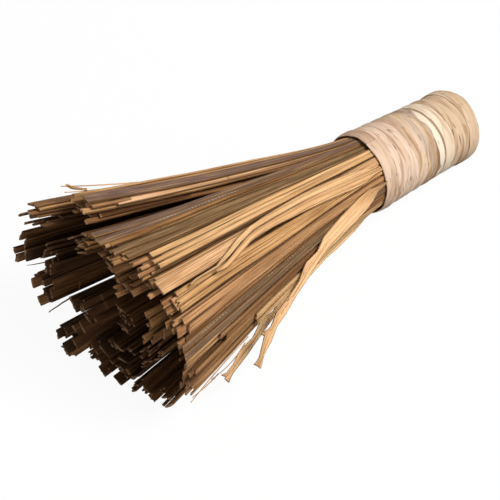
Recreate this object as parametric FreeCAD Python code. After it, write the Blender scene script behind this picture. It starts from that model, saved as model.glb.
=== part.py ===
"""A bamboo wok brush, lying on its side as it comes to rest.

Flat splints of split bamboo are stacked in courses round a small core. Bast ribbon binds them tightly
over a third of their length, each turn lapped on the one before. Past the binding the splints splay
into tufts, and a few stray from them. While it is built, the brush lies along X, with the middle of
its butt at the origin and its tips towards -X. Clock angles, in degrees, start at the top and grow
towards the near side, which is -Y. At the end the brush is laid down on its tips and its butt.
"""
import FreeCAD, Part
import math
import os
import random

V = FreeCAD.Vector

# Splints, in mm. The gaps are what a tight bundle keeps between its strips
SPLINT_WIDTH = 4.5
SPLINT_THICKNESS = 1.02
THINNEST = 0.85
WIDTH_UNEVEN = 0.22
SIDE_GAP = 0.08
COURSE_GAP = 0.06
BUTT_PROUD = 1.0
BUTT_UNEVEN = 0.8
TIP_UNEVEN = 3.0
TIP_SWELL = 1.15
SHORT_SHARE = 0.10
SHORTEST = 22.0

# Bound handle: radius of the bundle at the butt and at the binding's rim, and the binding's length
BUTT_RADIUS = 19.5
RIM_RADIUS = 21.7
BINDING_LENGTH = 78.5
INNER_RADIUS = 12.0
CORE_RADIUS = 4.4

# How the fan opens. The spreads say how much looser the tufts are at the tips than at the rim, and
# the even flare is the share of the way out that a splint gains evenly along its length
ROW_SPREAD = 1.32
SIDE_SPREAD = 2.1
CORE_SPREAD = 2.4
EVEN_FLARE = 0.75
BEND_AT = 80.0

# Tufts, clockwise from the top: share of the handle in degrees, clock angle of the tips, radius that
# they reach and length from the butt
OUTER_START = -16.0
OUTER_TUFTS = (
    (26, 9, 50.5, 247),
    (28, 33, 51, 240),
    (30, 57, 51, 237),
    (26, 80, 52, 235),
    (26, 103, 55.5, 233),
    (30, 129, 59, 236),
    (30, 167, 52, 239),
    (28, 190, 52, 243),
    (28, 213, 52, 250),
    (28, 244, 53, 252),
    (28, 272, 58, 255),
    (28, 302, 58, 253),
    (24, 332, 55, 241),
)
INNER_START = -6.0
INNER_TUFTS = (
    (52, 20, 34, 245),
    (50, 70, 35, 241),
    (52, 122, 34, 236),
    (50, 172, 34, 238),
    (52, 222, 34, 243),
    (52, 276, 42, 250),
    (52, 326, 38, 244),
)
CORE_TIP = (125, 9, 238)

# Tufts that the brush lies on, the radius of the fan where they meet the surface, and how far back
FLOOR_TUFTS = (7, 8, 9)
FLOOR_RADIUS = 52.0
FLOOR_LENGTH = 240.0

# Splints that stray: tuft and place in its outermost course, bow away from the fan at full length and
# the power of its curve, turn round the fan in degrees and its power, twist, length and tip width. The
# twist power says how late along its run a splint turns over
STRAYS = {
    "stray_splint_long": (5, 1, 34.5, 4.0, -19.0, 4.0, -70.0, 203.0, 1.16),
    "stray_splint_split": (6, 0, 12.5, 2.5, -5.5, 3.5, -85.0, 208.0, 1.0),
    "stray_splint_crossing": (1, 1, 5.0, 0.7, 50.0, 3.0, 0.0, 224.0, 0.35),
}
TWIST_POWER = 1.6
STRAY_STATIONS = 7
BROKEN = {(5, 0): 190.0, (4, 1): 214.0}

# Binding: one lapped helix of ribbons from the rim to the butt, with a band over it at each end. A
# turn has a number of facets, and each ribbon runs for its own number of them
RIBBON_THICKNESS = 0.5
RIBBON_GAP = 0.05
RIBBON_WIDTH = 12.0
RIBBON_FACETS = 24
RIBBON_START = 200.0
BAND_WIDTH = 9.0
RIM_BAND_START_FACET = 10
BUTT_BAND_START_FACET = -4
RIBBON_END_GAP = 0.08
RIBBONS = {
    "binding_ribbon_rim": 70,
    "binding_ribbon_amber": 24,
    "binding_ribbon_twisted": 24,
    "binding_ribbon_bright": 24,
    "binding_ribbon_butt": 57,
}
RIBBON_PITCH = (BINDING_LENGTH - RIBBON_WIDTH) * RIBBON_FACETS / sum(RIBBONS.values())
SEED = 7


def out(clock):
    """Unit direction away from the axis at a clock angle."""
    a = math.radians(clock)
    return V(0, -math.sin(a), math.cos(a))


def across(clock):
    """Unit direction round the axis, along growing clock angles."""
    a = math.radians(clock)
    return V(0, -math.cos(a), -math.sin(a))


def clock_of(point):
    return math.degrees(math.atan2(-point.y, point.z))


def loft(rings):
    """A solid with flat sides through rings of corners."""
    return Part.makeLoft([Part.makePolygon(ring + ring[:1]) for ring in rings], True, True)


class Splint:
    """A flat strip: its middle in the butt, the way its flat faces, its section and where it ends."""

    def __init__(self, middle, facing, width, thickness):
        self.middle, self.facing = middle, facing
        self.width, self.thickness = width, thickness
        self.tip = middle
        self.full_length = self.length = BINDING_LENGTH

    def place(self, x):
        """The strip's middle at x: straight to the rim, then straight to the bend, then to the tip."""
        rim = self.middle * (RIM_RADIUS / BUTT_RADIUS)
        if x > -BINDING_LENGTH:
            return self.middle + (rim - self.middle) * (-x / BINDING_LENGTH)
        fan = self.full_length - BINDING_LENGTH
        share = BEND_AT / fan
        bend = rim + (self.tip - rim) * (EVEN_FLARE * share + (1 - EVEN_FLARE) * share ** 2)
        past = -x - BINDING_LENGTH
        if past < BEND_AT:
            return rim + (bend - rim) * (past / BEND_AT)
        return bend + (self.tip - bend) * ((past - BEND_AT) / (fan - BEND_AT))

    def ring(self, x, middle, facing=None, width_share=1.0):
        """The strip's four corners across the axis at x. It swells a little towards its tip."""
        facing = self.facing if facing is None else facing
        swell = 1 + (TIP_SWELL - 1) * max(0, -x - BINDING_LENGTH) / (self.full_length - BINDING_LENGTH)
        side = across(facing) * (self.width * swell * width_share / 2)
        face = out(facing) * (self.thickness * swell / 2)
        return [V(x, 0, 0) + middle + p for p in (-side - face, side - face, side + face, face - side)]

    def solid(self, butt_x):
        stops = [butt_x, -BINDING_LENGTH, -BINDING_LENGTH - BEND_AT, -self.length]
        if self.length < BINDING_LENGTH + BEND_AT + SPLINT_WIDTH:
            stops.pop(2)
        return loft([self.ring(x, self.place(x)) for x in stops])

    def stray_solid(self, butt_x, bow, bow_power, turn, turn_power, twist, tip_share):
        """The strip along a path that leaves its tuft."""
        rings = [self.ring(butt_x, self.place(butt_x))]
        for k in range(STRAY_STATIONS + 1):
            done = k / STRAY_STATIONS
            x = -BINDING_LENGTH + (BINDING_LENGTH - self.length) * done
            share = (-x - BINDING_LENGTH) / (self.full_length - BINDING_LENGTH)
            home = self.place(x)
            swing = turn * share ** turn_power
            middle = out(clock_of(home) + swing) * (home.Length + bow * share ** bow_power)
            facing = self.facing + swing + twist * done ** TWIST_POWER
            rings.append(self.ring(x, middle, facing, 1 + (tip_share - 1) * done ** 2))
        return loft(rings)


def uneven_parts(total, count, rng):
    """Splits a total into parts that differ a little."""
    parts = [1 + rng.uniform(-WIDTH_UNEVEN, WIDTH_UNEVEN) for _ in range(count)]
    return [total * p / sum(parts) for p in parts]


def wedge(start, angle, outer, inner, rng):
    """Courses of splints that fill a wedge of the handle from outside in, each side by side."""
    splints = []
    limit = outer
    while limit - SPLINT_THICKNESS > inner:
        thickness = SPLINT_THICKNESS * rng.uniform(THINNEST, 1)
        count = max(1, round(math.radians(angle) * limit / SPLINT_WIDTH))
        slots = uneven_parts(angle, count, rng)
        widest = 2 * limit * math.tan(math.radians(max(slots)) / 2)
        radius = math.sqrt(limit ** 2 - widest ** 2 / 4) - thickness / 2
        clock = start
        for slot in slots:
            width = 2 * (radius - thickness / 2) * math.tan(math.radians(slot) / 2) - SIDE_GAP
            middle_clock = clock + slot / 2
            splints.append(Splint(out(middle_clock) * radius, middle_clock, width, thickness))
            clock += slot
        limit = radius - thickness / 2 - COURSE_GAP
    return splints


def open_tuft(splints, home, home_clock, tip_clock, reach, length, rng):
    """Gives each splint of a tuft its tip: the tuft's own pattern, opened up and carried outwards."""
    slack = SPLINT_THICKNESS * (ROW_SPREAD - TIP_SWELL) / 2
    for splint in splints:
        offset = (splint.middle - home) * (RIM_RADIUS / BUTT_RADIUS)
        rows = offset.dot(out(home_clock)) * ROW_SPREAD + rng.uniform(-slack, slack)
        sides = offset.dot(across(home_clock)) * SIDE_SPREAD + rng.uniform(-slack, slack)
        splint.tip = out(tip_clock) * (reach + rows) + across(tip_clock) * sides
        short = rng.uniform(0, SHORTEST) if rng.random() < SHORT_SHARE else 0
        splint.full_length = length
        splint.length = length - short + rng.uniform(-TIP_UNEVEN, TIP_UNEVEN)


def settle(splints, length):
    """Lowers or lifts a tuft's tips until the lowest corner meets the surface under the brush."""
    slope = (FLOOR_RADIUS - BUTT_OUTSIDE) / FLOOR_LENGTH
    gaps = [p.z + BUTT_OUTSIDE - slope * p.x for s in splints for p in s.ring(-length, s.tip)]
    for splint in splints:
        splint.tip = splint.tip - V(0, 0, min(gaps))


def core_splints(rng):
    """A flat stack of splints that fills the middle of the handle."""
    splints = []
    pitch = SPLINT_THICKNESS + COURSE_GAP
    count = int(2 * CORE_RADIUS / pitch)
    clock, drop, length = CORE_TIP
    for k in range(count):
        height = (k - (count - 1) / 2) * pitch
        edge = abs(height) + SPLINT_THICKNESS / 2
        width = 2 * math.sqrt(max(CORE_RADIUS ** 2 - edge ** 2, 0))
        if width < SPLINT_WIDTH / 2:
            continue
        splint = Splint(V(0, 0, height), 0, min(width, SPLINT_WIDTH * 1.2), SPLINT_THICKNESS)
        splint.tip = splint.middle * CORE_SPREAD + out(clock) * drop
        splint.full_length = length
        splint.length = length + rng.uniform(-TIP_UNEVEN, TIP_UNEVEN)
        splints.append(splint)
    return splints


def lay_out_splints(rng):
    """All splints of the brush, by tuft."""
    tufts = {}
    layers = (("outer", OUTER_START, OUTER_TUFTS, BUTT_RADIUS, INNER_RADIUS),
              ("inner", INNER_START, INNER_TUFTS, INNER_RADIUS, CORE_RADIUS))
    for layer, start, rows, outer, inner in layers:
        for number, (angle, clock, reach, length) in enumerate(rows, 1):
            splints = wedge(start, angle, outer, inner, rng)
            middle_clock = start + angle / 2
            open_tuft(splints, out(middle_clock) * outer, middle_clock, clock, reach, length, rng)
            if layer == "outer" and number in FLOOR_TUFTS:
                settle(splints, length)
            tufts[f"{layer}_tuft_{number:02d}"] = splints
            start += angle
    tufts["core"] = core_splints(rng)
    for (number, place), length in BROKEN.items():
        tufts[f"outer_tuft_{number:02d}"][place].length = length
    return tufts


def bundle_radius(x):
    """Radius of the bound bundle at x."""
    return BUTT_RADIUS + (RIM_RADIUS - BUTT_RADIUS) * (-x / BINDING_LENGTH)


def ribbon_ring(clock, x, width, lift, rise):
    """Four corners of a ribbon across its run. It lies at the given lift and climbs towards the butt."""
    corners = []
    for along, height in ((0, 0), (width, 0), (width, RIBBON_THICKNESS), (0, RIBBON_THICKNESS)):
        radius = bundle_radius(x + along) + RIBBON_GAP + lift + rise * along + height
        corners.append(V(x + along, 0, 0) + out(clock) * (radius / math.cos(math.pi / RIBBON_FACETS)))
    return corners


RIBBON_STEP = RIBBON_THICKNESS + RIBBON_GAP
RIBBON_RISE = RIBBON_STEP / RIBBON_PITCH
BUTT_OUTSIDE = BUTT_RADIUS + RIBBON_GAP + RIBBON_RISE * RIBBON_WIDTH + RIBBON_STEP + RIBBON_THICKNESS


def helix_ribbon(first, count):
    """A ribbon wound over a count of facets, every turn of the binding under the edge of the last.

    It stops a little short of its last facet's end, where the next ribbon starts.
    """
    rings = []
    for k in range(first, first + count + 1):
        turn = k / RIBBON_FACETS
        x = -BINDING_LENGTH + RIBBON_PITCH * turn
        rings.append(ribbon_ring(RIBBON_START + 360 * turn, x, RIBBON_WIDTH, 0, RIBBON_RISE))
    rings[-1] = [b + (a - b) * RIBBON_END_GAP for a, b in zip(rings[-2], rings[-1])]
    return loft(rings)


def end_band(x, start_facet, lift, rise):
    """A band round the binding, facet on facet, that laps over its own start."""
    rings = []
    for k in range(RIBBON_FACETS + 2):
        climb = RIBBON_STEP if k >= RIBBON_FACETS else 0
        clock = RIBBON_START + 360 * (start_facet + k) / RIBBON_FACETS
        rings.append(ribbon_ring(clock, x, BAND_WIDTH, lift + climb, rise))
    return loft(rings)


def binding():
    """The ribbons and bands that hold the bundle."""
    pieces = {}
    first = 0
    for name, count in RIBBONS.items():
        pieces[name] = helix_ribbon(first, count)
        first += count
    pieces["binding_band_rim"] = end_band(-BINDING_LENGTH, RIM_BAND_START_FACET, RIBBON_STEP,
                                          RIBBON_RISE)
    top = RIBBON_RISE * RIBBON_WIDTH + RIBBON_STEP
    pieces["binding_band_butt"] = end_band(-BAND_WIDTH, BUTT_BAND_START_FACET, top, 0)
    return pieces


def lower_edge(points):
    """The lower outline of points in X and Z, as corners from left to right."""
    edge = []
    for p in sorted(points):
        while len(edge) > 1 and ((edge[-1][0] - edge[-2][0]) * (p[1] - edge[-2][1])
                                 <= (edge[-1][1] - edge[-2][1]) * (p[0] - edge[-2][0])):
            edge.pop()
        edge.append(p)
    return edge


def lay_down(nodes):
    """Tilts the brush onto its tips and its butt, with the origin under the middle of its box."""
    solids = [s for group in nodes.values() for s in group]
    middle = sum(s.CenterOfMass.x * s.Volume for s in solids) / sum(s.Volume for s in solids)
    edge = lower_edge([(v.X, v.Z) for s in solids for v in s.Vertexes])
    for left, right in zip(edge, edge[1:]):
        if left[0] <= middle <= right[0]:
            tilt = math.degrees(math.atan2(right[1] - left[1], right[0] - left[0]))
    for solid in solids:
        solid.rotate(V(0, 0, 0), V(0, 1, 0), tilt)
    corners = [v.Point for s in solids for v in s.Vertexes]
    lows = [min(c[k] for c in corners) for k in range(3)]
    highs = [max(c[k] for c in corners) for k in range(3)]
    for solid in solids:
        solid.translate(V(-(lows[0] + highs[0]) / 2, -(lows[1] + highs[1]) / 2, -lows[2]))


def build():
    """Every node's solids, by the node's name."""
    rng = random.Random(SEED)
    tufts = lay_out_splints(rng)
    nodes = {}
    for name, (tuft, place, bow, bow_power, turn, turn_power, twist, length, tip_share) in STRAYS.items():
        splint = tufts[f"outer_tuft_{tuft:02d}"][place]
        splint.length = length
        nodes[name] = [splint.stray_solid(BUTT_PROUD, bow, bow_power, turn, turn_power, twist, tip_share)]
    for tuft, place, *_ in sorted(STRAYS.values(), reverse=True):
        del tufts[f"outer_tuft_{tuft:02d}"][place]
    for name, splints in tufts.items():
        nodes[f"splints_{name}"] = [s.solid(BUTT_PROUD + rng.uniform(-BUTT_UNEVEN, BUTT_UNEVEN)) for s in splints]
    for name, solid in binding().items():
        nodes[name] = [solid]
    lay_down(nodes)
    return nodes


def main():
    nodes = build()
    os.makedirs("parts", exist_ok=True)
    for name, solids in nodes.items():
        shape = solids[0] if len(solids) == 1 else Part.makeCompound(solids)
        shape.exportStep(f"parts/{name}.step")
        print(name, len(solids))
    return nodes


nodes = main()
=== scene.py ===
"""Looks of a bamboo wok brush that lies on its side.

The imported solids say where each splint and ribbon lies. Every splint is drawn again along its own
solid as split bamboo, with a smooth run, worn arrises, strands that part and a ragged end. The
binding is drawn again as lapped bast ribbon with creases and narrow strands wound across it.
"""
import bpy
import bmesh
import math
import random
from mathutils import Matrix, Vector, noise


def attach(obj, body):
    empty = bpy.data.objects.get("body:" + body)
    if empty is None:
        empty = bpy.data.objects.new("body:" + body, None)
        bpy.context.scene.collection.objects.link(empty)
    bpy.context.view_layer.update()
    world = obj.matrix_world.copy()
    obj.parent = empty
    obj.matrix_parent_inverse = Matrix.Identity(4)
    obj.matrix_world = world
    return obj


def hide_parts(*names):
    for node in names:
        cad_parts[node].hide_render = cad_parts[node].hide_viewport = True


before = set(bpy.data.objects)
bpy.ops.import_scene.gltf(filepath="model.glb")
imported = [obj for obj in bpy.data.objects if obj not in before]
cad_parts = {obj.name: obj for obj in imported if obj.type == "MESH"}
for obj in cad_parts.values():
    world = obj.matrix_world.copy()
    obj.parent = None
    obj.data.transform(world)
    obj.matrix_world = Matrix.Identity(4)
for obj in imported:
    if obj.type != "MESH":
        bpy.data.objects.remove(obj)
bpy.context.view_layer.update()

MM = 0.001

# The brush's own frame: X from the tips to the butt's middle, tilted as the brush lies
TILT = math.radians(7.246)
BUTT = Vector((126.448, 2.412, 21.354)) * MM
BRUSH = Matrix.Translation(BUTT) @ Matrix.Rotation(TILT, 4, "Y")

# The bound handle
BINDING_LENGTH = 78.5 * MM
BUTT_RADIUS = 19.5 * MM
RIM_RADIUS = 21.7 * MM


def out(clock):
    """Direction away from the brush's axis at a clock angle, 0 at the top and 90 at the near side."""
    a = math.radians(clock)
    return Vector((0, -math.sin(a), math.cos(a)))


def clock_of(point):
    """Clock angle of a point or direction round the brush's axis."""
    return math.degrees(math.atan2(-point.y, point.z)) % 360


def mix(a, b, share):
    return a + (b - a) * share


def smooth(low, high, value):
    """Rises from 0 at low to 1 at high, level at both ends."""
    t = min(1, max(0, (value - low) / (high - low)))
    return t * t * (3 - 2 * t)


def hermite(a, b, slope_a, slope_b, span, t):
    """The smooth curve from a to b with a slope at each end, at a share t of the span."""
    return (a * (2 * t ** 3 - 3 * t ** 2 + 1) + slope_a * span * (t ** 3 - 2 * t ** 2 + t)
            + b * (3 * t ** 2 - 2 * t ** 3) + slope_b * span * (t ** 3 - t ** 2))


def placed(name, data):
    """Adds an object to the scene."""
    made = bpy.data.objects.new(name, data)
    bpy.context.scene.collection.objects.link(made)
    return made


def mesh_of(bm, name):
    mesh = bpy.data.meshes.new(name)
    bm.to_mesh(mesh)
    bm.free()
    return mesh


# Shader wiring


class Value:
    """A shader socket that takes part in Python arithmetic."""

    def __init__(self, shader, socket):
        self.shader, self.socket = shader, socket

    def _math(self, operation, *values):
        return self.shader.node("ShaderNodeMath", {"operation": operation}, *values)

    def __add__(self, other):
        return self._math("ADD", self, other)

    def __sub__(self, other):
        return self._math("SUBTRACT", self, other)

    def __rsub__(self, other):
        return self._math("SUBTRACT", other, self)

    def __mul__(self, other):
        return self._math("MULTIPLY", self, other)

    __radd__, __rmul__ = __add__, __mul__

    def clamp(self):
        return self.shader.node("ShaderNodeClamp", {}, self, 0.0, 1.0)

    def distance(self):
        return self._math("ABSOLUTE", self)

    def wrap(self, size):
        return self._math("WRAP", self, size, 0.0)


class Shader:
    """One material's nodes, ending in a Principled BSDF."""

    def __init__(self, name, **constants):
        self.material = bpy.data.materials.new(name)
        self.material.use_nodes = True
        self.tree = self.material.node_tree
        self.bsdf = self.tree.nodes["Principled BSDF"]
        for socket, value in constants.items():
            self.bsdf.inputs[socket.replace("_", " ").title().replace("Ior", "IOR")].default_value = value

    def node(self, kind, settings, *values, result=0, **named):
        """Adds a node, sets it up, fills its sockets by place or by name and returns a result."""
        made = self.tree.nodes.new(kind)
        for key, setting in settings.items():
            if key == "stops":
                self._stops(made.color_ramp, setting)
            else:
                setattr(made, key, setting)
        for key, value in [*enumerate(values), *((k.replace("_", " "), v) for k, v in named.items())]:
            self.fill(made.inputs[key], value)
        return Value(self, made.outputs[result])

    def fill(self, socket, value):
        """Links a socket to a value of this shader, or sets it to a constant."""
        if isinstance(value, Value):
            self.tree.links.new(value.socket, socket)
        else:
            socket.default_value = value

    def _stops(self, ramp, stops):
        while len(ramp.elements) < len(stops):
            ramp.elements.new(1.0)
        for element, (place, colour) in zip(ramp.elements, stops):
            element.position = place
            element.color = (*colour, 1.0)

    def attribute(self, name, result="Vector"):
        return self.node("ShaderNodeAttribute", {"attribute_name": name}, result=result)

    def parts(self, vector):
        """The X, Y and Z of a vector."""
        split = self.node("ShaderNodeSeparateXYZ", {}, vector)
        return [Value(self, s) for s in split.socket.node.outputs]

    def stretched(self, vector, sizes, detail=2.0, rough=0.5, shift=(0, 0, 0)):
        """Noise from 0 to 1 whose patches have these sizes in metres."""
        placed = self.node("ShaderNodeMapping", {}, vector, Location=shift, Scale=[1 / s for s in sizes])
        return self.node("ShaderNodeTexNoise", {}, placed, Scale=1.0, Detail=detail, Roughness=rough)

    def ramp(self, value, *stops):
        return self.node("ShaderNodeValToRGB", {"stops": stops}, value)

    def between(self, value, low, high, start=0.0, end=1.0):
        """Goes smoothly from start to end while the value goes from low to high."""
        return self.node("ShaderNodeMapRange", {"interpolation_type": "SMOOTHSTEP"}, value, low, high,
                         start, end)

    def blend(self, share, a, b, how="MIX"):
        """Mixes two colours, from a at share 0 to b at share 1."""
        made = self.node("ShaderNodeMix", {"data_type": "RGBA", "blend_type": how}, share, result=2)
        for name, value in (("A_Color", a), ("B_Color", b)):
            socket = next(s for s in made.socket.node.inputs if s.identifier == name)
            self.fill(socket, value if isinstance(value, Value) else (*value, 1.0))
        return made

    def feed(self, socket, value):
        self.tree.links.new(value.socket, self.bsdf.inputs[socket])

    def bump(self, height, depth, strength=1.0):
        normal = self.node("ShaderNodeBump", {}, Strength=strength, Distance=depth, Height=height)
        self.feed("Normal", normal)


# Colours on split bamboo
GROOVE = (0.095, 0.040, 0.015)
SPECK = (0.10, 0.046, 0.020)
PALE_FIBRE = (0.82, 0.62, 0.40)
SKIN_LINE = (0.068, 0.036, 0.024)
WORN_SKIN = (0.42, 0.25, 0.12)
SKIN_DOT = (0.62, 0.50, 0.28)
# Painted shade in the crevices between strips, along each arris
ARRIS_SHADE = (0.070, 0.029, 0.011)
SOILED_TIP = (0.15, 0.070, 0.030)
FRESH_CUT = (0.44, 0.26, 0.145)
NODE_LINE = (0.17, 0.080, 0.034)

# The row of dots along a strip of skin: where it lies across, and how far apart the dots are
DOT_ROW = 20.6 * MM
DOT_PITCH = 2.1 * MM


def bamboo_material():
    """Split bamboo: long fibres, dark grooves, stains, nodes, skin on the outer face of some, and painted
    shade along the arrises.
    """
    s = Shader("split_bamboo", specular_ior_level=0.12)
    fibre = s.attribute("fibre")
    tone, warmth, skin = s.parts(s.attribute("look"))
    side, to_tip, to_edge = s.parts(s.attribute("place"))
    along, over, _ = s.parts(fibre)
    fine = s.stretched(fibre, (9 * MM, 0.16 * MM, 0.16 * MM), 3.0, 0.6)
    streak = s.stretched(fibre, (34 * MM, 0.7 * MM, 0.7 * MM), 2.0, 0.55, (3, 5, 7))
    broad = s.stretched(fibre, (28 * MM, 3.4 * MM, 3.4 * MM), 2.0, 0.5, (9, 2, 4))
    spots = s.stretched(fibre, (1.6 * MM, 0.5 * MM, 0.5 * MM), 1.0, 0.5, (1, 8, 3))
    groove = s.stretched(fibre, (60 * MM, 0.42 * MM, 0.42 * MM), 1.0, 0.5, (6, 1, 2))

    shade = tone + (fine - 0.5) * 0.44 + (streak - 0.5) * 0.55 + (broad - 0.5) * 0.45
    plain = s.ramp(shade.clamp(), (0.0, (0.018, 0.008, 0.003)), (0.25, (0.085, 0.036, 0.013)),
                   (0.5, (0.260, 0.134, 0.057)), (0.75, (0.500, 0.292, 0.142)), (1.0, (0.76, 0.52, 0.30)))
    tint = s.blend(warmth, (1.05, 0.95, 0.92), (1.04, 0.98, 0.76))
    warm = s.blend(1.0, plain, tint, "MULTIPLY")
    cut = s.between(groove, 0.585, 0.67)
    darkened = s.blend(cut * 0.5, warm, GROOVE)
    speckled = s.blend(s.between(spots, 0.70, 0.80) * 0.45, darkened, SPECK)
    pale = s.blend(s.between(fine, 0.64, 0.84) * 0.22, speckled, PALE_FIBRE)

    # Skin keeps its dull green or purple-brown gloss and a faint row of pale dots
    hide = s.ramp((skin - 1.0 + (streak - 0.5) * 0.3 + (broad - 0.5) * 0.3).clamp(),
                  (0.0, (0.215, 0.128, 0.046)), (0.5, (0.240, 0.148, 0.070)), (1.0, (0.205, 0.125, 0.100)))
    hide = s.blend(s.between(fine, 0.36, 0.60) * 0.65, hide, SKIN_LINE)
    hide = s.blend(s.between(streak, 0.50, 0.64) * 0.65, hide, WORN_SKIN)
    off_row = (over.wrap(40 * MM) - DOT_ROW).distance()
    off_dot = ((along + (broad - 0.5) * (6 * MM)).wrap(DOT_PITCH) - DOT_PITCH / 2).distance()
    dots = s.between(off_row, 0.10 * MM, 0.32 * MM, 1.0, 0.0)
    dots = dots * s.between(off_dot, 0.2 * MM, 0.7 * MM, 1.0, 0.0)
    worn = s.stretched(fibre, (9 * MM, 4 * MM, 4 * MM), 1.0, 0.5, (5, 6, 1))
    hide = s.blend(dots * s.between(worn, 0.42, 0.60) * 0.8, hide, SKIN_DOT)
    on_skin = s.between(side, 0.30, 0.42) * s.between(skin, 0.4, 0.6)
    colour = s.blend(on_skin, pale, hide)

    # Arrises are painted darker as painted shade between strips, tips are soiled, fresh ends are paler, and
    # a node is a fine dark line
    colour = s.blend(s.between(to_edge, 0.0, 0.48 * MM, 0.66, 0.0), colour, ARRIS_SHADE)
    colour = s.blend(s.between(to_tip, 0.0, 5 * MM, 0.20, 0.0), colour, SOILED_TIP)
    colour = s.blend(s.between(to_tip, -0.2 * MM, 0.5 * MM, 0.60, 0.0), colour, FRESH_CUT)
    colour = s.blend(s.between(along.distance(), 0.25 * MM, 0.8 * MM, 0.55, 0.0), colour, NODE_LINE)
    s.feed("Base Color", colour)
    s.feed("Roughness", (0.60 + (fine - 0.5) * 0.3 - on_skin * 0.17).clamp())
    ridge = s.between(along.distance(), 0.0, 1.4 * MM, 0.6, 0.0)
    s.bump(fine * 0.5 + streak * 0.9 + ridge - cut * 0.8, 0.18 * MM, 0.9)
    return s.material


# Light, middle and dark colour of each bast
BASTS = {
    "bast_pink": ((0.75, 0.57, 0.44), (0.61, 0.43, 0.305), (0.41, 0.245, 0.155)),
    "bast_amber": ((0.69, 0.51, 0.34), (0.48, 0.31, 0.18), (0.31, 0.165, 0.075)),
    "bast_grey": ((0.56, 0.43, 0.34), (0.44, 0.315, 0.23), (0.25, 0.15, 0.09)),
    "bast_cream": ((0.80, 0.67, 0.52), (0.70, 0.55, 0.40), (0.49, 0.33, 0.19)),
    "bast_tan": ((0.65, 0.475, 0.33), (0.53, 0.365, 0.23), (0.34, 0.20, 0.105)),
}
# The painted shade inside a slit in the bast
SLIT_SHADE = (0.085, 0.036, 0.016)
STRAND_LENGTH = 44 * MM
STRAND_WIDTH = 4.6 * MM


def bast_material(name, light, middle, dark):
    """Dry bast ribbon: lens-like strands that cross, soft fibres and brown stains, with painted shade in
    short slits, along strand seams and at ribbon edges, and painted light on each strand's raised back.
    """
    s = Shader(name, specular_ior_level=0.25)
    fibre = s.attribute("fibre")
    edge, tint, _ = s.parts(s.attribute("place"))
    fine = s.stretched(fibre, (7 * MM, 0.22 * MM, 1.0), 3.0, 0.62)
    streak = s.stretched(fibre, (26 * MM, 1.3 * MM, 1.0), 2.0, 0.55, (4, 1, 6))
    cloud = s.stretched(fibre, (15 * MM, 5 * MM, 1.0), 2.0, 0.5, (2, 7, 5))
    slit = s.stretched(fibre, (6.0 * MM, 0.85 * MM, 1.0), 0.0, 0.4, (8, 3, 1))

    # Strands: long narrow cells that run a little askew, each with its own tint and a raised back whose
    # middle is painted a little lighter than its edges, as painted light and shade
    askew = s.node("ShaderNodeMapping", {}, fibre, Rotation=(0, 0, math.radians(7)))
    cells = s.node("ShaderNodeMapping", {}, askew, Location=(3, 1, 0),
                   Scale=(1 / STRAND_LENGTH, 1 / STRAND_WIDTH, 1.0))
    order = {"Scale": 1.0, "Randomness": 0.9}
    apart = s.node("ShaderNodeTexVoronoi", {"feature": "DISTANCE_TO_EDGE"}, cells, **order)
    drawn, _, _ = s.parts(s.node("ShaderNodeTexVoronoi", {"feature": "F1"}, cells, result=1, **order))
    back = s.between(apart, 0.0, 0.30)
    shade = (0.5 + (fine - 0.5) * 0.20 + (streak - 0.5) * 0.30 + (cloud - 0.5) * 0.8 + (drawn - 0.5) * 0.6
             + (back - 0.6) * 0.10 + tint)
    colour = s.ramp(shade.clamp(), (0.10, dark), (0.42, middle), (0.85, light))
    # Painted shade: a dark line along the seams where strands meet, in patches
    seam_shade = s.between(apart, 0.0, 0.06, 1.0, 0.0) * s.between(cloud, 0.42, 0.66)
    colour = s.blend(seam_shade * 0.45, colour, [c * 0.45 for c in dark])
    # Painted shade in short slits, which the bump also presses in
    gap = s.between(slit, 0.745, 0.79) * s.between(cloud, 0.40, 0.54)
    # Painted shade along the edges of each ribbon and strand, where one lies on another
    rim = s.between(edge, 0.0, 0.45 * MM, 0.42, 0.0)
    colour = s.blend(rim, colour, [c * 0.5 for c in dark])
    colour = s.blend(gap * 0.9, colour, SLIT_SHADE)
    s.feed("Base Color", colour)
    s.feed("Roughness", (0.66 + (fine - 0.5) * 0.25).clamp())
    s.bump(fine * 0.3 + streak * 0.7 + back * 0.9 - gap * 1.6, 0.26 * MM, 0.9)
    return s.material


# Splints

# The corners of one section of a solid lie this near each other along X
SECTION_DEPTH = 0.1 * MM
WELD = 0.004 * MM


class Run:
    """The run of one splint, read from the corners of its solid in the brush's frame."""

    def __init__(self, corners):
        rings = {}
        for corner in corners:
            rings.setdefault(round(corner.x / SECTION_DEPTH), []).append(corner)
        self.stops = []
        normal = None
        for ring in (rings[k] for k in sorted(rings, reverse=True) if len(rings[k]) == 4):
            middle = sum(ring, Vector()) / 4
            near, far, _ = sorted(ring[1:], key=lambda c: (c - ring[0]).length)
            thickness, width = near - ring[0], far - ring[0]
            if normal is None:
                away = Vector((0, middle.y, middle.z))
                normal = away if away.length > 5 * MM else Vector((0, 0, 1))
            normal = thickness.normalized() * (1 if thickness.dot(normal) > 0 else -1)
            self.stops.append((middle, normal, width.length, thickness.length))
        xs = [m.x for m, *_ in self.stops]
        slopes = [(b[0] - a[0]) / (b[0].x - a[0].x) for a, b in zip(self.stops, self.stops[1:])]
        self.slopes = [slopes[0], *((a + b) / 2 for a, b in zip(slopes, slopes[1:])), slopes[-1]]
        self.butt, self.tip = xs[0], xs[-1]

    def at(self, x):
        """Middle, direction away from the axis, width and thickness where the brush's X is x."""
        k = 0
        while k < len(self.stops) - 2 and x < self.stops[k + 1][0].x:
            k += 1
        (a, na, wa, ta), (b, nb, wb, tb) = self.stops[k], self.stops[k + 1]
        span = b.x - a.x
        t = (x - a.x) / span
        middle = hermite(a, b, self.slopes[k], self.slopes[k + 1], span, t)
        return middle, na.lerp(nb, t).normalized(), mix(wa, wb, t), mix(ta, tb, t)


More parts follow.
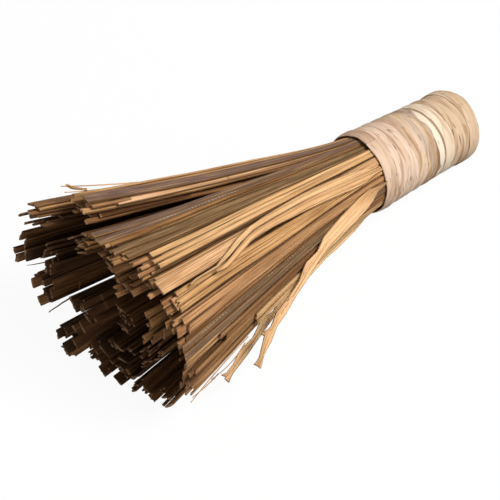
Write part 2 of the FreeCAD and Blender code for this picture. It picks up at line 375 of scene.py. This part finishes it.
def runs_of(node):
    """The runs of a node's splints."""
    bm = bmesh.new()
    bm.from_mesh(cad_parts[node].data)
    bmesh.ops.remove_doubles(bm, verts=bm.verts, dist=WELD)
    bmesh.ops.transform(bm, matrix=BRUSH.inverted(), verts=bm.verts)
    bm.verts.index_update()
    left, runs = set(bm.verts), []
    while left:
        island, front = set(), [min(left, key=lambda v: v.index)]
        while front:
            vert = front.pop()
            if vert not in island:
                island.add(vert)
                front += [e.other_vert(vert) for e in vert.link_edges]
        left -= island
        runs.append(Run([v.co.copy() for v in sorted(island, key=lambda v: v.index)]))
    bm.free()
    return runs


# Worn arrises: how far in they start as a share of a column, and how thick the edge is left
ARRIS_WIDTH = 0.45
ARRIS_HEIGHT = 0.62


def blank(columns, stops):
    """A strip to shape: X from 0 at the butt to 1 at the tip, Y across and Z through from -0.5 to 0.5."""
    bm = bmesh.new()
    bmesh.ops.create_cube(bm, size=1, matrix=Matrix.Translation((0.5, 0, 0)))

    def cut(axis, cuts):
        along = [e for e in bm.edges if abs((e.verts[0].co - e.verts[1].co).normalized()[axis]) > 0.9]
        bmesh.ops.subdivide_edges(bm, edges=along, cuts=cuts, use_grid_fill=True)

    cut(0, len(stops) - 2)
    cut(1, columns - 1)
    cut(2, 1)
    steps = len(stops) - 1
    inner = 0.5 - ARRIS_WIDTH / columns
    for v in bm.verts:
        v.co.x = stops[round(v.co.x * steps)]
        if abs(v.co.y) > 0.499:
            v.co.z *= ARRIS_HEIGHT
        elif abs(v.co.y) > inner - 1 / columns:
            v.co.y = math.copysign(inner, v.co.y)
    return mesh_of(bm, "blank")


# Sections of a strip: a few in the handle, 15 along the fan from the rim, and a few close to the tip
RIM_STOP, FAN_STOPS = 0.335, 15
STOPS = [0, 0.17, 0.30, RIM_STOP]
STOPS += [RIM_STOP + 0.63 * k / FAN_STOPS for k in range(1, FAN_STOPS + 1)]
STOPS += [0.978, 0.990, 1.0]
WIDE_BLANK = blank(8, STOPS)
NARROW_BLANK = blank(4, STOPS)
# A strand wider than this at its tip takes the wide blank
WIDE_STRAND = 2.8 * MM
# A splint narrower than this stays whole
SPLIT_WIDTH = 3.0 * MM


class Strand:
    """One strand of a splint.

    rim and tip say where its two edges lie across the splint at those places, and belly how far each
    moves a little way past the rim, all as shares of the splint's width. thick is a share of the
    splint's thickness. The strand lifts off the splint, ends shorter, strays on its own course and is
    lighter than the splint by tone.
    """

    def __init__(self, rim, tip, thick=1.0, lift=0.0, shorter=0.0, stray=0.0, tone=0.0, belly=(0, 0)):
        self.rim, self.tip, self.belly, self.thick, self.lift = rim, tip, belly, thick, lift
        self.shorter, self.stray, self.tone = shorter, stray, tone


def strands(width, whole, rng):
    """Splits a splint at random into strands that overlap at the rim and part towards the tip."""
    kind = rng.random()
    if width < SPLIT_WIDTH or kind < whole:
        return [Strand((-0.5, 0.5), (-rng.uniform(0.56, 0.72), rng.uniform(0.56, 0.72)))]
    if kind < mix(whole, 1, 0.72):
        cut, gap = rng.uniform(-0.16, 0.16), rng.uniform(-0.10, 0.09)
        up = rng.choice((-1, 1)) * rng.uniform(0.12, 0.26) * MM
        return [Strand((-0.5, cut + 0.17), (-rng.uniform(0.68, 0.92), cut - gap), 0.78, up,
                       rng.uniform(0, 1) ** 3 * 6 * MM, rng.uniform(0.2, 0.9)),
                Strand((cut - 0.17, 0.5), (cut + gap, rng.uniform(0.68, 0.92)), 0.78, -up,
                       rng.uniform(0, 1) ** 3 * 6 * MM, rng.uniform(0.2, 0.9))]
    cuts = (rng.uniform(-0.26, -0.14), rng.uniform(0.14, 0.26))
    up = rng.uniform(0.12, 0.24) * MM
    return [Strand((-0.5, cuts[0] + 0.14), (-rng.uniform(0.8, 0.98), cuts[0] * 1.5 - 0.08), 0.75, up,
                   rng.uniform(0, 1) ** 2 * 6 * MM, rng.uniform(0.3, 1.1)),
            Strand((cuts[0] - 0.1, cuts[1] + 0.1), (cuts[0] * 1.2, cuts[1] * 1.2), 0.8, -up,
                   rng.uniform(0, 1) ** 2 * 6 * MM, rng.uniform(0.2, 0.6)),
            Strand((cuts[1] - 0.14, 0.5), (cuts[1] * 1.5 + 0.08, rng.uniform(0.8, 0.98)), 0.75, up,
                   rng.uniform(0, 1) ** 2 * 6 * MM, rng.uniform(0.3, 1.1))]


class Look:
    """How a splint is coloured and how it lies.

    tone runs from 0, dark, to 1, light, warmth from 0 to 1, and skin is 0 for none and from 1, olive, to
    2, purple. inside is how much darker the inner face is painted, as painted shade that is partly stain
    from use. node is the place of a bamboo node along the brush, butt how far the splint stands out of the
    butt, whole the chance that it isn't split, and seed gives it a warp of its own. facing is the clock
    angle that its flat side turns to, or None, turned_by the share of the fan at which it has turned, and
    twist turns it further towards the tip, in degrees.
    shifts is its turn round the fan in degrees by mm from the butt, lift how far it rises off the fan,
    warp how much it warps in mm, and torn how ragged its end is.
    """

    def __init__(self, **values):
        self.facing, self.turned_by, self.twist = None, 0.45, 0
        self.shifts, self.lift = (), 0
        self.skin, self.warp, self.torn = 0, 1.25, 1.0
        self.__dict__.update(values)


def along_route(stops, at):
    """A value read from a smooth curve through the stops, each a place and a value."""
    slopes = [0, *((c[1] - a[1]) / (c[0] - a[0]) for a, c in zip(stops, stops[2:])), 0]
    for (a, va), (b, vb), sa, sb in zip(stops, stops[1:], slopes, slopes[1:]):
        if at < b:
            return hermite(va, vb, sa, sb, b - a, max(0, (at - a) / (b - a)))
    return stops[-1][1]


def routed(run, look, x):
    """Middle of a run that is turned round the fan by its look."""
    middle = run.at(max(run.tip, x))[0]
    radius = Vector((0, middle.y, middle.z)).length + look.lift * smooth(80 * MM, 100 * MM, -x)
    turned = out(clock_of(middle) + along_route(look.shifts, -x / MM)) * radius
    return Vector((middle.x, turned.y, turned.z))


# The ragged end: how far back it reaches, and how wide the notch in it is
TORN_LENGTH = 9 * MM
NOTCH_WIDTH = 0.6 * MM
# A shifted splint's heading is taken over this length each way
HEADING_REACH = 3 * MM


def splint(bm, layers, run, look, rng, strand):
    """Adds one strand of a splint, shaped along the splint's run."""
    first = len(bm.verts)
    full = (strand.tip[1] - strand.tip[0]) * run.at(run.tip)[2]
    bm.from_mesh(WIDE_BLANK if full > WIDE_STRAND else NARROW_BLANK)
    bm.verts.ensure_lookup_table()
    fibre, place, shown = layers
    offset = Vector((0, rng.uniform(0.2, 0.9), rng.uniform(0.2, 0.9)))
    skew, rough = rng.uniform(-0.22, 0.22), rng.uniform(0.25, 0.6) * MM
    notch, notch_depth = rng.uniform(-0.4, 0.4), rng.choice((0, 0, 0.8, 1.6)) * MM
    curl = rng.uniform(-0.5, 0.9) * MM
    end = run.tip + strand.shorter
    for v in bm.verts[first:]:
        t, a, b = v.co
        x = mix(run.butt + look.butt, end, t)
        # Ragged end
        ragged = noise.noise(Vector((a * full * 1500, b * 1.4, offset.y * 50))) * rough + skew * a * full
        ragged -= notch_depth * max(0, 1 - abs(a - notch) * full / NOTCH_WIDTH)
        reach = max(0, 1 - (x - end) / TORN_LENGTH)
        x -= ragged * look.torn * reach ** 2
        fan = min(1, max(0, (-x - BINDING_LENGTH) / (-run.tip - BINDING_LENGTH)))
        middle, normal, width, thickness = run.at(max(run.tip, x))
        heading = Vector((1, 0, 0))
        if look.shifts:
            middle = routed(run, look, x)
            here = max(x, run.tip + 4 * MM)
            heading = routed(run, look, here + HEADING_REACH) - routed(run, look, here - HEADING_REACH)
        if look.facing is not None:
            faced = look.facing + look.twist * smooth(0.35, 0.9, fan)
            normal = out(mix(clock_of(normal), faced, smooth(0.0, look.turned_by, fan)))
        opened = fan * fan * (2 - fan)
        belly = smooth(0.0, 0.16, fan) * (1 - smooth(0.25, 0.75, fan))
        low = mix(strand.rim[0], strand.tip[0], opened) + strand.belly[0] * belly
        high = mix(strand.rim[1], strand.tip[1], opened) + strand.belly[1] * belly
        over = mix(low, high, a + 0.5)
        # Warp of the whole splint, and of this strand on its own
        loose = smooth(0.02, 0.55, fan) * MM
        wave = Vector((x * 13, look.seed, 3.3))
        own = Vector((x * 17, offset.y * 9, 8.1))
        bow = noise.noise(wave) * look.warp + noise.noise(own) * strand.stray + noise.noise(own * 4) * 0.14
        sway = noise.noise(wave + Vector((7, 1, 4))) * look.warp
        sway += noise.noise(own + Vector((5, 2, 9))) * strand.stray + noise.noise(own * 5) * 0.10
        lift = strand.lift + curl * smooth(0.75, 1.0, fan)
        body = 1 + 0.16 * noise.noise(Vector((x * 30, offset.y * 90, 1.7)))
        crown = 0.10 * thickness * (0.25 - over * over) * 4
        side = heading.cross(normal).normalized()
        v.co = Vector((x, middle.y, middle.z)) + side * (over * width * (0.985 + 0.03 * body) + sway * loose)
        v.co += normal * (b * thickness * strand.thick * body * 0.98 + bow * loose + lift + crown)
        v[fibre] = Vector((x - look.node, over * width, b * thickness)) + offset
        v[place] = Vector((b, x - end, (0.5 - abs(a)) * (high - low) * width))
        # The inner face is painted darker by inside: painted shade, partly stain from use
        darkened = look.inside * (1 - smooth(-0.1, 0.3, b))
        skin = look.skin if b > 0.4 else 0.0
        v[shown] = Vector((look.tone + strand.tone - darkened, look.warmth, skin))


# Edges sharper than this angle in radians are drawn sharp, and no vertex lies lower than this
SHARP_ANGLE = 0.6
LOWEST = 0.02 * MM


def finish_piece(bm, name, material, nodes):
    """Turns a bmesh in the brush's frame into a piece that rides on the brush."""
    bmesh.ops.transform(bm, matrix=BRUSH, verts=bm.verts)
    for v in bm.verts:
        v.co.z = max(v.co.z, LOWEST)
    for face in bm.faces:
        face.smooth = True
    for edge in bm.edges:
        edge.smooth = len(edge.link_faces) == 2 and edge.calc_face_angle(0) < SHARP_ANGLE
    mesh = mesh_of(bm, name)
    mesh.materials.append(material)
    piece = placed(name, mesh)
    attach(piece, "root")
    if nodes:
        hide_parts(*nodes)
    return piece


def splint_layers(bm):
    return [bm.verts.layers.float_vector.new(name) for name in ("fibre", "place", "look")]


# Skin-covered strips that show: tuft, clock of the tip, and skin
SKINS = ((13, 337, 2.0), (1, 3, 1.9), (1, 14, 1.35), (4, 74, 1.6))

OUTER_TUFTS = 13
INNER_TUFTS = 7
# Inner and core splints are painted darker, as the shade inside the fan, partly stain
TONES = {"outer": 0.70, "inner": 0.29, "core": 0.20}


def look_of(run, layer, rng):
    """How a splint looks: those inside and on the underside and far side are painted darker, as painted
    shade that is partly stain from use.
    """
    clock = clock_of(run.at(run.tip)[0])
    handle_clock = clock_of(run.at(run.butt)[0])
    # Tips on the underside and far side lie in the fan's shade, which is painted into their tone
    shaded_side = smooth(118, 165, clock) - smooth(305, 345, clock)
    tone = TONES[layer] - 0.10 * shaded_side
    facing, shifts = None, ()
    if layer == "inner":
        # Painted light: inner splints towards the top and near side are painted lighter, where light reaches
        # into the fan
        tone += 0.14 * (1 - smooth(70, 120, clock)) + 0.14 * smooth(300, 340, clock)
    elif layer == "outer":
        # Painted light and shade: the top is painted a little lighter, splints that start deep in the bundle
        # darker, and those low on the near side darker, where they lie in shade
        tone += 0.04 * (1 - smooth(30, 60, clock)) + 0.04 * smooth(335, 345, clock)
        tone -= 0.30 * (1 - smooth(BUTT_RADIUS - 7 * MM, BUTT_RADIUS - 1.5 * MM, depth_of(run)))
        tone -= 0.16 * (smooth(124, 134, handle_clock) - smooth(145, 160, handle_clock))
        # Near the outline the strips turn their flat side outwards to the light
        turn = -30 * smooth(88, 118, handle_clock) * (1 - smooth(150, 175, handle_clock))
        turn += 24 * smooth(290, 305, handle_clock) * (1 - smooth(335, 350, handle_clock))
        if abs(turn) > 1:
            facing = clock_of(run.at(run.tip)[1]) + turn
        # Low on the near side the tips spread out and show their inner face
        if 120 < handle_clock < 150:
            swing = 0.6 * (handle_clock - 118) + 1.2 * (BUTT_RADIUS - depth_of(run)) / MM
            facing += 3 * swing
            shifts = ((90, 0), (240, swing))
    return Look(
        tone=tone + rng.choice((-1, 0, 1)) * 0.12 + rng.uniform(-0.10, 0.10),
        inside=(0.30 if layer == "outer" else 0.14) * shaded_side,
        butt=rng.uniform(0, 1) ** 2 * 1.6 * MM,
        warmth=rng.random(),
        whole=mix(0.22, 0.62, shaded_side),
        node=-rng.uniform(90, 900) * MM,
        seed=rng.uniform(0, 90),
        facing=facing,
        shifts=shifts,
    )


def depth_of(run):
    """How far from the middle of the butt the run starts."""
    return (run.at(run.butt)[0] - Vector((run.butt, 0, 0))).length


def mark_skin(runs, looks, clock, skin):
    """Gives skin to the outermost splint whose tip is near a clock angle."""
    def apart(k):
        off = abs(clock_of(runs[k].at(runs[k].tip)[0]) - clock)
        return off + 3 * (BUTT_RADIUS - depth_of(runs[k])) / MM

    looks[min(range(len(runs)), key=apart)].skin = skin


def tuft(number, layer, material, rng):
    """Draws the splints of one tuft, or of the core."""
    node = "splints_core" if layer == "core" else f"splints_{layer}_tuft_{number:02d}"
    bm = bmesh.new()
    layers = splint_layers(bm)
    runs = runs_of(node)
    looks = [look_of(run, layer, rng) for run in runs]
    for marked, clock, skin in SKINS:
        if layer == "outer" and marked == number:
            mark_skin(runs, looks, clock, skin)
    for run, look in zip(runs, looks):
        for strand in strands(run.at(run.tip)[2], look.whole, rng):
            splint(bm, layers, run, look, rng, strand)
    return finish_piece(bm, node + "_bamboo", material, [node])


# Stray splints, whose looks, routes and strands are given one by one
STRAYS = {
    "stray_splint_long": {
        "facing": 50, "turned_by": 0.16, "tone": 0.92, "warmth": 0.30, "lift": 1.6 * MM,
        "shifts": ((10, 0), (70, -45), (88, -45), (105, -39), (125, -32), (148, -21), (170, 0)),
        "strands": (
            Strand((-0.75, 0.1), (-1.00, -0.30), 0.9, lift=0.06 * MM, shorter=18 * MM, tone=-0.02,
                   belly=(-0.60, -0.30)),
            Strand((-0.2, 0.75), (-0.60, 0.40), 0.9, shorter=2 * MM, tone=0.02, belly=(-0.5, 0.0)))},
    "stray_splint_split": {
        "facing": 50, "turned_by": 0.22, "tone": 0.96, "warmth": 0.40, "shifts": ((90, 0), (208, 1)),
        "strands": (
            Strand((-0.6, 0.05), (-0.95, -0.28), 0.9, shorter=1.0 * MM, belly=(-0.30, -0.30)),
            Strand((-0.1, 0.5), (-0.42, 0.18), 0.9, lift=0.10 * MM, tone=0.03, belly=(-0.30, -0.20)))},
    "stray_splint_crossing": {
        "facing": 40, "turned_by": 0.2, "tone": 0.88, "warmth": 0.45, "lift": 1.5 * MM,
        "shifts": ((10, 0), (70, 38), (90, 36), (120, 28), (154, 21), (182, 14), (202, 12), (225, 1)),
        "strands": (
            Strand((-0.5, 0.1), (-1.05, -0.25), 0.8, stray=0.5, tone=0.03, belly=(-0.3, -0.1)),
            Strand((-0.1, 0.5), (0.20, 1.1), 0.8, lift=0.15 * MM, shorter=15 * MM, stray=0.5, tone=-0.03,
                   belly=(-0.1, 0.45)))},
}


def stray_splint(name, material, rng):
    """Draws a splint that strays from its tuft."""
    bm = bmesh.new()
    layers = splint_layers(bm)
    run, = runs_of(name)
    look = Look(node=-rng.uniform(95, 900) * MM, seed=rng.uniform(0, 90), inside=0.1, butt=0.0, warp=0.2,
                twist=-30, torn=0.3, **STRAYS[name])
    for strand in look.strands:
        splint(bm, layers, run, look, rng, strand)
    return finish_piece(bm, name + "_bamboo", material, [name])


# Loose fibres: start, bend and end as mm from the butt, clock and radius in mm, then width in mm and tone
LOOSE_FIBRES = (
    ((205, 322, 47), (225, 325, 53.5), (240, 318, 59.5), 1.2, 0.85),
    ((216, 320, 49), (230, 317, 53), (240, 320, 56.5), 1.1, 0.9),
    ((229, 319, 53.5), (235, 316, 56.5), (240, 325, 60.0), 2.0, 0.8),
    ((222, 318, 43), (232, 312, 45), (240, 300, 48.9), 1.5, 0.45),
    ((238, 232, 47), (246, 230, 50), (250, 228, 54.6), 0.8, 0.35),
    ((243, 258, 50), (248, 255, 56), (250, 253, 62), 0.8, 0.35),
    ((236, 250, 36), (242, 268, 22), (241, 246, 29), 0.7, 0.4),
    ((186, 122, 45), (209, 128, 52), (230, 121, 57.5), 0.9, 0.85),
    ((198, 102, 49), (208, 108, 54), (214, 124, 53.5), 0.8, 0.9),
    ((206, 131, 54), (214, 130, 56), (223, 133, 57.8), 0.8, 0.8),
)


def loose_fibres(material, rng):
    """Thin fibres that have come away from the splints near their tips."""
    bm = bmesh.new()
    fibre, place, shown = layers = splint_layers(bm)
    for *stops, width, tone in LOOSE_FIBRES:
        a, b, c = (Vector((-x * MM, 0, 0)) + out(clock) * (radius * MM) for x, clock, radius in stops)
        first, seed = len(bm.verts), rng.uniform(0, 50)
        bm.from_mesh(NARROW_BLANK)
        bm.verts.ensure_lookup_table()
        for v in bm.verts[first:]:
            t, w, d = v.co
            middle = a * (1 - t) ** 2 + b * (2 * t * (1 - t)) + c * t ** 2
            run = ((b - a) * (1 - t) + (c - b) * t).normalized()
            face = Vector((0, middle.y, middle.z)).normalized()
            side = run.cross(face).normalized()
            thin = width * MM * (1 - 0.35 * t)
            wobble = noise.noise(Vector((t * 4, seed, 1))) * 0.3 * MM
            v.co = middle + side * (w * thin + wobble) + face * (d * thin * 0.6)
            v[fibre] = Vector((t * 0.03 + 0.2, w * thin + 0.3, d * thin + seed * MM))
            v[place] = Vector((d, (1 - t) * 0.02 + 0.002, 0.002))
            v[shown] = Vector((tone, 0.3, 0.0))
    return finish_piece(bm, "loose_fibres", material, [])


# Binding

# The solids' facets in one turn, then each ribbon's name, facets, slot and tint
RIBBON_FACETS = 24
RIBBONS = (
    ("binding_ribbon_rim", 70, "bast_pink", 0.0),
    ("binding_ribbon_amber", 24, "bast_amber", 0.12),
    ("binding_ribbon_twisted", 24, "bast_grey", -0.14),
    ("binding_ribbon_bright", 24, "bast_cream", 0.22),
    ("binding_ribbon_butt", 57, "bast_tan", -0.04),
)
# The clock angle at which the helix starts
RIBBON_START = 200
RIBBON_WIDTH = 12 * MM
RIBBON_THICKNESS = 0.5 * MM
RIBBON_GAP = 0.05 * MM
RIBBON_PITCH = (BINDING_LENGTH - RIBBON_WIDTH) * RIBBON_FACETS / sum(count for _, count, *_ in RIBBONS)
RIBBON_STEP = RIBBON_THICKNESS + RIBBON_GAP
RIBBON_RISE = RIBBON_STEP / RIBBON_PITCH
BAND_WIDTH = 9 * MM

# The bast's own thickness, how far a ribbon's middle swells and how uneven its edges are
BAST_THICKNESS = 0.4 * MM
WISP_THICKNESS = 0.25 * MM
CROWN = 0.28 * MM
UNEVEN_EDGE = 1.3 * MM


def bundle_radius(x):
    """Radius of the bundle inside the binding."""
    return BUTT_RADIUS + (RIM_RADIUS - BUTT_RADIUS) * (-x / BINDING_LENGTH)


def crease(clock, x, seed):
    """Height of the creases that run a little askew along the ribbons."""
    arc = math.radians(clock) * RIM_RADIUS
    total = 0
    for slant, size, depth in ((0.16, 4.6, 0.14), (-0.22, 6.0, 0.18), (0.05, 1.9, 0.03)):
        q = (x + arc * slant) / (size * MM)
        h = noise.noise(Vector((q, arc / (26 * MM), seed + size)))
        total += depth * min(1, abs(h) * 5)
    return total * MM


def wound(bm, layers, first, count, width, x_of, base, seed, tint):
    """Adds a ribbon wound over a count of facets, with a crown, creases and uneven edges.

    x_of gives the X of its edge by facet, and base its radius by X, clock and distance from that edge.
    """
    verts = bmesh.ops.create_grid(bm, x_segments=max(8, count * 6), y_segments=20, size=0.5)["verts"]
    fibre, place = layers
    for v in verts:
        u, w = v.co.x + 0.5, v.co.y + 0.5
        facet = first + u * count
        clock = RIBBON_START + 360 * facet / RIBBON_FACETS
        arc = math.radians(clock) * RIM_RADIUS
        edge = noise.noise(Vector((arc / (24 * MM), w * 1.2, seed))) * UNEVEN_EDGE
        edge += noise.noise(Vector((arc / (7 * MM), w * 1.5, seed + 4))) * 0.35 * MM
        edge *= 2 * abs(w - 0.5)
        along = w * width
        x = max(-BINDING_LENGTH - 0.8 * MM, x_of(facet) + along + edge)
        radius = base(x_of(facet) + along, clock, along)
        press = 1 - (2 * w - 1) ** 4
        radius += CROWN * press + crease(clock, x, seed) * (0.25 + 0.75 * press)
        radius += noise.noise(Vector((arc / (12 * MM), x / (5 * MM), seed))) * 0.25 * MM * press
        v.co = Vector((x, 0, 0)) + out(clock) * radius
        v[fibre] = Vector((arc, along + edge, seed))
        v[place] = Vector((min(along, width - along), tint, w))
    return grid_faces(verts)


def wisp(bm, layers, middle, arc, from_rim, slant, width, tint, seed):
    """Adds a strand that crosses the turns: it swells from a point and narrows to a point again."""
    verts = bmesh.ops.create_grid(bm, x_segments=48, y_segments=8, size=0.5)["verts"]
    fibre, place = layers
    for v in verts:
        u, w = v.co.x + 0.5, v.co.y + 0.5
        clock = middle + (u - 0.5) * arc
        taper = math.sin(math.pi * min(1, max(0, u))) ** 0.6
        length = math.radians(clock) * RIM_RADIUS
        sway = noise.noise(Vector((length / (18 * MM), seed, 2))) * 0.9 * MM
        x = -BINDING_LENGTH + (from_rim + slant * (u - 0.5)) * MM + (w - 0.5) * width * MM * taper + sway
        raised = (1 - (2 * w - 1) ** 2) * taper
        radius = bundle_radius(x) + RIBBON_STEP + RIBBON_RISE * RIBBON_WIDTH + mix(-0.40, 0.50, raised) * MM
        v.co = Vector((x, 0, 0)) + out(clock) * radius
        v[fibre] = Vector((length, w * width * MM + seed * 7 * MM, seed))
        v[place] = Vector((min(w, 1 - w) * width * MM * taper, tint, w))
    return grid_faces(verts)


def grid_faces(verts):
    """The faces of a grid, by its vertices."""
    return list(dict.fromkeys(face for v in verts for face in v.link_faces))


def thicken(bm, faces, thickness):
    """Gives a ribbon its thickness, inwards from its outer side."""
    bmesh.ops.recalc_face_normals(bm, faces=faces)
    sample = faces[len(faces) // 2]
    middle = sample.calc_center_median()
    if sample.normal.dot(Vector((0, middle.y, middle.z))) < 0:
        bmesh.ops.reverse_faces(bm, faces=faces)
    bmesh.ops.solidify(bm, geom=faces, thickness=thickness)


def binding_layers(bm):
    return [bm.verts.layers.float_vector.new(name) for name in ("fibre", "place")]


def turn_radius(x, clock, along):
    """Outer radius of a helix ribbon, along being the distance from its edge."""
    return bundle_radius(x) + RIBBON_GAP + RIBBON_RISE * along + RIBBON_THICKNESS


def helix_x(facet):
    """X of the helix ribbon's edge at a facet counted from its start."""
    return -BINDING_LENGTH + RIBBON_PITCH * facet / RIBBON_FACETS


# Strands across the turns of each ribbon: clock of the middle, arc in degrees, then mm from the rim,
# slant and width in mm, and tint
WISPS = {
    "binding_ribbon_rim": (
        (20, 150, 8, 5, 5.0, 0.10), (62, 130, 13, -6, 4.5, -0.08), (45, 170, 19, 6, 5.5, 0.06),
        (95, 110, 15, -5, 4.0, 0.12), (345, 120, 14, 6, 5.0, -0.08), (200, 160, 11, 6, 5.0, 0.05),
        (265, 150, 18, -6, 5.0, -0.05), (140, 140, 20, 7, 5.0, 0.06)),
    "binding_ribbon_amber": (
        (30, 150, 27, 5, 5.0, 0.10), (80, 120, 29, -5, 4.0, -0.06), (330, 120, 28, -5, 4.0, 0.06),
        (200, 160, 27, 6, 5.0, 0.0)),
    "binding_ribbon_twisted": (
        (10, 150, 35, -6, 5.0, -0.14), (62, 150, 37, 5, 5.0, 0.08), (220, 150, 35, 6, 5.0, 0.0)),
    "binding_ribbon_bright": ((42, 230, 45.5, 3, 7.5, 0.24), (230, 150, 43, 5, 5.0, 0.1)),
    "binding_ribbon_butt": (
        (10, 150, 53, 6, 5.0, 0.10), (60, 150, 58, -6, 5.0, -0.10), (35, 160, 64, 6, 5.0, 0.06),
        (350, 140, 60, -6, 5.0, -0.08), (200, 150, 55, 6, 6.0, 0.0), (240, 150, 65, -6, 5.0, 0.05),
        (150, 140, 62, 5, 5.0, -0.05)),
}

# End bands: name, X of the edge, first facet, slot, how far off the bundle, and rise along X
BANDS = (
    ("binding_band_rim", -BINDING_LENGTH, 10, "bast_pink", RIBBON_STEP, RIBBON_RISE),
    ("binding_band_butt", -BAND_WIDTH, -4, "bast_tan", RIBBON_RISE * RIBBON_WIDTH + RIBBON_STEP, 0),
)


def ribbons(materials):
    """Draws the helix, ribbon after ribbon, with the strands that cross its turns."""
    first = crossings = 0
    for number, (name, count, slot, tint) in enumerate(RIBBONS):
        bm = bmesh.new()
        layers = binding_layers(bm)
        turns = wound(bm, layers, first, count, RIBBON_WIDTH, helix_x, turn_radius, 3.1 * number + 1, tint)
        thicken(bm, turns, BAST_THICKNESS)
        for shape in WISPS[name]:
            thicken(bm, wisp(bm, layers, *shape, 2.3 * crossings + 1), WISP_THICKNESS)
            crossings += 1
        finish_piece(bm, name + "_bast", materials[slot], [name])
        first += count


def end_band(name, x, start, slot, lift, rise, materials):
    """Draws the flat band at one end, whose last facet climbs on its first."""
    def band_radius(at, clock, along):
        turned = (clock - RIBBON_START) * RIBBON_FACETS / 360 - start
        climb = RIBBON_STEP * smooth(RIBBON_FACETS - 1, RIBBON_FACETS, turned)
        return bundle_radius(at) + RIBBON_GAP + lift + climb + rise * along + RIBBON_THICKNESS

    bm = bmesh.new()
    layers = binding_layers(bm)
    turn = wound(bm, layers, start, RIBBON_FACETS + 1, BAND_WIDTH, lambda facet: x, band_radius,
                 17.0 + x * 100, 0.05)
    thicken(bm, turn, BAST_THICKNESS)
    finish_piece(bm, name + "_bast", materials[slot], [name])


# Stage, light and camera

# The floor's colour in the light that it throws back and as the camera sees it, and its white glow
FLOOR_BOUNCE = (0.30, 0.30, 0.30)
FLOOR_SEEN = (0.85, 0.85, 0.85)
FLOOR_GLOW = 0.93
# The white surroundings' strength as a light and as the camera sees them
SURROUNDINGS_LIGHT = 0.11
SURROUNDINGS_SEEN = 1.0
# What the lamps point at
AIM = Vector((0, 0, 0.04))


def stage():
    """Adds a pale floor that looks near white to the camera and throws little light back."""
    bm = bmesh.new()
    bmesh.ops.create_grid(bm, x_segments=1, y_segments=1, size=3)
    floor = placed("floor", mesh_of(bm, "floor"))
    s = Shader("pale_floor", roughness=0.9, specular_ior_level=0.0)
    seen = s.node("ShaderNodeLightPath", {}, result="Is Camera Ray")
    s.feed("Base Color", s.blend(seen, FLOOR_BOUNCE, FLOOR_SEEN))
    white = s.node("ShaderNodeEmission", {}, Color=(1, 1, 1, 1), Strength=1.0)
    mixed = s.node("ShaderNodeMixShader", {}, seen * FLOOR_GLOW, Value(s, s.bsdf.outputs[0]), white)
    s.tree.links.new(mixed.socket, s.tree.nodes["Material Output"].inputs[0])
    floor.data.materials.append(s.material)


def area_lamp(name, position, size, power, colour=(1, 1, 1)):
    """Adds a square lamp that points at the brush."""
    data = bpy.data.lights.new(name, "AREA")
    data.size, data.energy, data.color = size, power, colour
    lamp = placed(name, data)
    lamp.location = position
    lamp.rotation_euler = (AIM - Vector(position)).to_track_quat("-Z", "Y").to_euler()


def studio():
    """Adds white surroundings and three lamps."""
    scene = bpy.context.scene
    world = bpy.data.worlds.new("studio")
    scene.world = world
    world.use_nodes = True
    tree = world.node_tree
    ground = tree.nodes["Background"]
    rays = tree.nodes.new("ShaderNodeLightPath")
    shine = tree.nodes.new("ShaderNodeMix")
    shine.data_type = "FLOAT"
    tree.links.new(rays.outputs["Is Camera Ray"], shine.inputs[0])
    shine.inputs[2].default_value = SURROUNDINGS_LIGHT
    shine.inputs[3].default_value = SURROUNDINGS_SEEN
    tree.links.new(shine.outputs[0], ground.inputs["Strength"])
    ground.inputs["Color"].default_value = (1, 1, 1, 1)
    area_lamp("key", (0.40, -0.62, 1.12), 0.5, 19.5, (1.0, 0.985, 0.965))
    area_lamp("fill", (-0.6, -0.8, 0.60), 1.0, 5)
    area_lamp("back", (0.1, 1.05, 0.50), 0.8, 4.5)
    scene.view_settings.view_transform = "Standard"


def camera():
    """Adds the camera, which looks down by 50 degrees from the side of the tips."""
    data = bpy.data.cameras.new("camera")
    data.lens, data.sensor_width = 72, 36
    made = placed("camera", data)
    made.location = Vector((-243.0, -251.37, 423.19)) * MM
    made.rotation_euler = (math.radians(90 - 50), 0, math.radians(-40.32))
    bpy.context.scene.camera = made


def main():
    rng = random.Random(11)
    bamboo = bamboo_material()
    for layer, count in (("outer", OUTER_TUFTS), ("inner", INNER_TUFTS)):
        for number in range(1, count + 1):
            tuft(number, layer, bamboo, rng)
    tuft(0, "core", bamboo, rng)
    for name in STRAYS:
        stray_splint(name, bamboo, rng)
    loose_fibres(bamboo, rng)
    basts = {name: bast_material(name, *colours) for name, colours in BASTS.items()}
    ribbons(basts)
    for band in BANDS:
        end_band(*band, basts)
    stage()
    studio()
    camera()


main()
